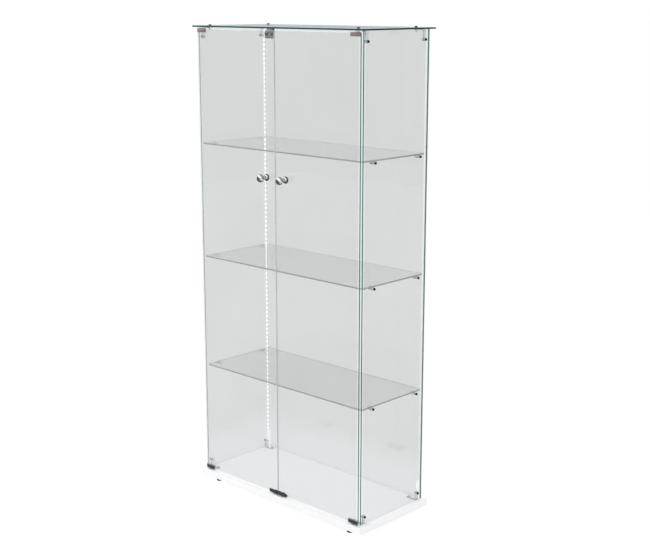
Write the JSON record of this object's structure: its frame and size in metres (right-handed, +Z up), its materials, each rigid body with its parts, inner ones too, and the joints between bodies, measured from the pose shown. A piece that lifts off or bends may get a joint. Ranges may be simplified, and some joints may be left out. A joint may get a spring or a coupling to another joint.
{
  "type": "glass display cabinet",
  "caption": "Tall free-standing glass display cabinet with hinged double doors, round knobs, glass shelves on studs and a white base board.",
  "frame": {"origin": "on the floor, under the centre of the cabinet's overall box", "axes": "+X to the right seen from the front, +Y to the back, +Z up; the doors face -Y"},
  "size_m": [0.795, 0.377, 1.659],
  "materials": {
    "clear_glass": "clear float glass with polished green edges",
    "white_board": "white satin laminate",
    "black_plastic": "matt black",
    "chrome": "polished",
    "dark_metal": "black satin",
    "bronze_metal": "brown grey satin",
    "charcoal_metal": "charcoal satin",
    "steel": "plain",
    "magnet": "dark nickel",
    "nylon": "natural nylon",
    "clear_plastic": "thin black washers",
    "rubber_pad": "soft grey",
    "light_strip": "white tape with small lamps",
    "white_plastic": "white moulded"
  },
  "bodies": {
    "cabinet": {"base_board": "white_board", "back_panel": "clear_glass", "left_side_panel": "clear_glass", "right_side_panel": "clear_glass", "top_panel": "clear_glass", "upper_shelf": "clear_glass", "middle_shelf": "clear_glass", "lower_shelf": "clear_glass", "left_front_foot": "black_plastic", "top_left_front_bracket": "chrome", "base_left_front_bracket": "chrome", "left_rear_foot": "black_plastic", "top_left_rear_bracket": "chrome", "base_left_rear_bracket": "chrome", "left_light_strip": "light_strip", "left_strip_connector": "white_plastic", "right_front_foot": "black_plastic", "top_right_front_bracket": "chrome", "base_right_front_bracket": "chrome", "right_rear_foot": "black_plastic", "top_right_rear_bracket": "chrome", "base_right_rear_bracket": "chrome", "right_light_strip": "light_strip", "right_strip_connector": "white_plastic", "top_bracket_screws": "dark_metal", "wood_screws": "chrome", "bracket_side_screws": "dark_metal", "glass_washers": "clear_plastic", "upper_shelf_supports": "chrome", "middle_shelf_supports": "chrome", "lower_shelf_supports": "chrome", "shelf_support_screws": "dark_metal", "shelf_support_pads": "rubber_pad", "top_catch_case": "chrome", "base_catch_case": "black_plastic", "catch_magnets": "magnet", "upper_hinge_plates": "chrome", "lower_hinge_plates": "chrome", "pivot_bushes": "nylon"},
    "left_door": {"left_door_glass": "clear_glass", "left_upper_hinge_clamp": "bronze_metal", "left_lower_hinge_clamp": "charcoal_metal", "left_clamp_liners": "rubber_pad", "left_clamp_screws": "dark_metal", "left_pivot_pins": "steel", "left_lower_strike_clip": "charcoal_metal", "left_knob": "chrome", "left_knob_back_cap": "chrome", "left_knob_screw": "steel", "left_upper_strike": "chrome"},
    "right_door": {"right_door_glass": "clear_glass", "right_upper_hinge_clamp": "bronze_metal", "right_lower_hinge_clamp": "charcoal_metal", "right_clamp_liners": "rubber_pad", "right_clamp_screws": "dark_metal", "right_pivot_pins": "steel", "right_lower_strike_clip": "charcoal_metal", "right_knob": "chrome", "right_knob_back_cap": "chrome", "right_knob_screw": "steel"}
  },
  "joints": [
    {"name": "left_door_hinge", "type": "hinge", "parent": "cabinet", "child": "left_door", "pos_m": [-0.365, -0.15, 0.845], "axis": [0, 0, -1], "range_deg": [0, 100]},
    {"name": "right_door_hinge", "type": "hinge", "parent": "cabinet", "child": "right_door", "pos_m": [0.365, -0.15, 0.845], "axis": [0, 0, 1], "range_deg": [0, 100]}
  ]
}
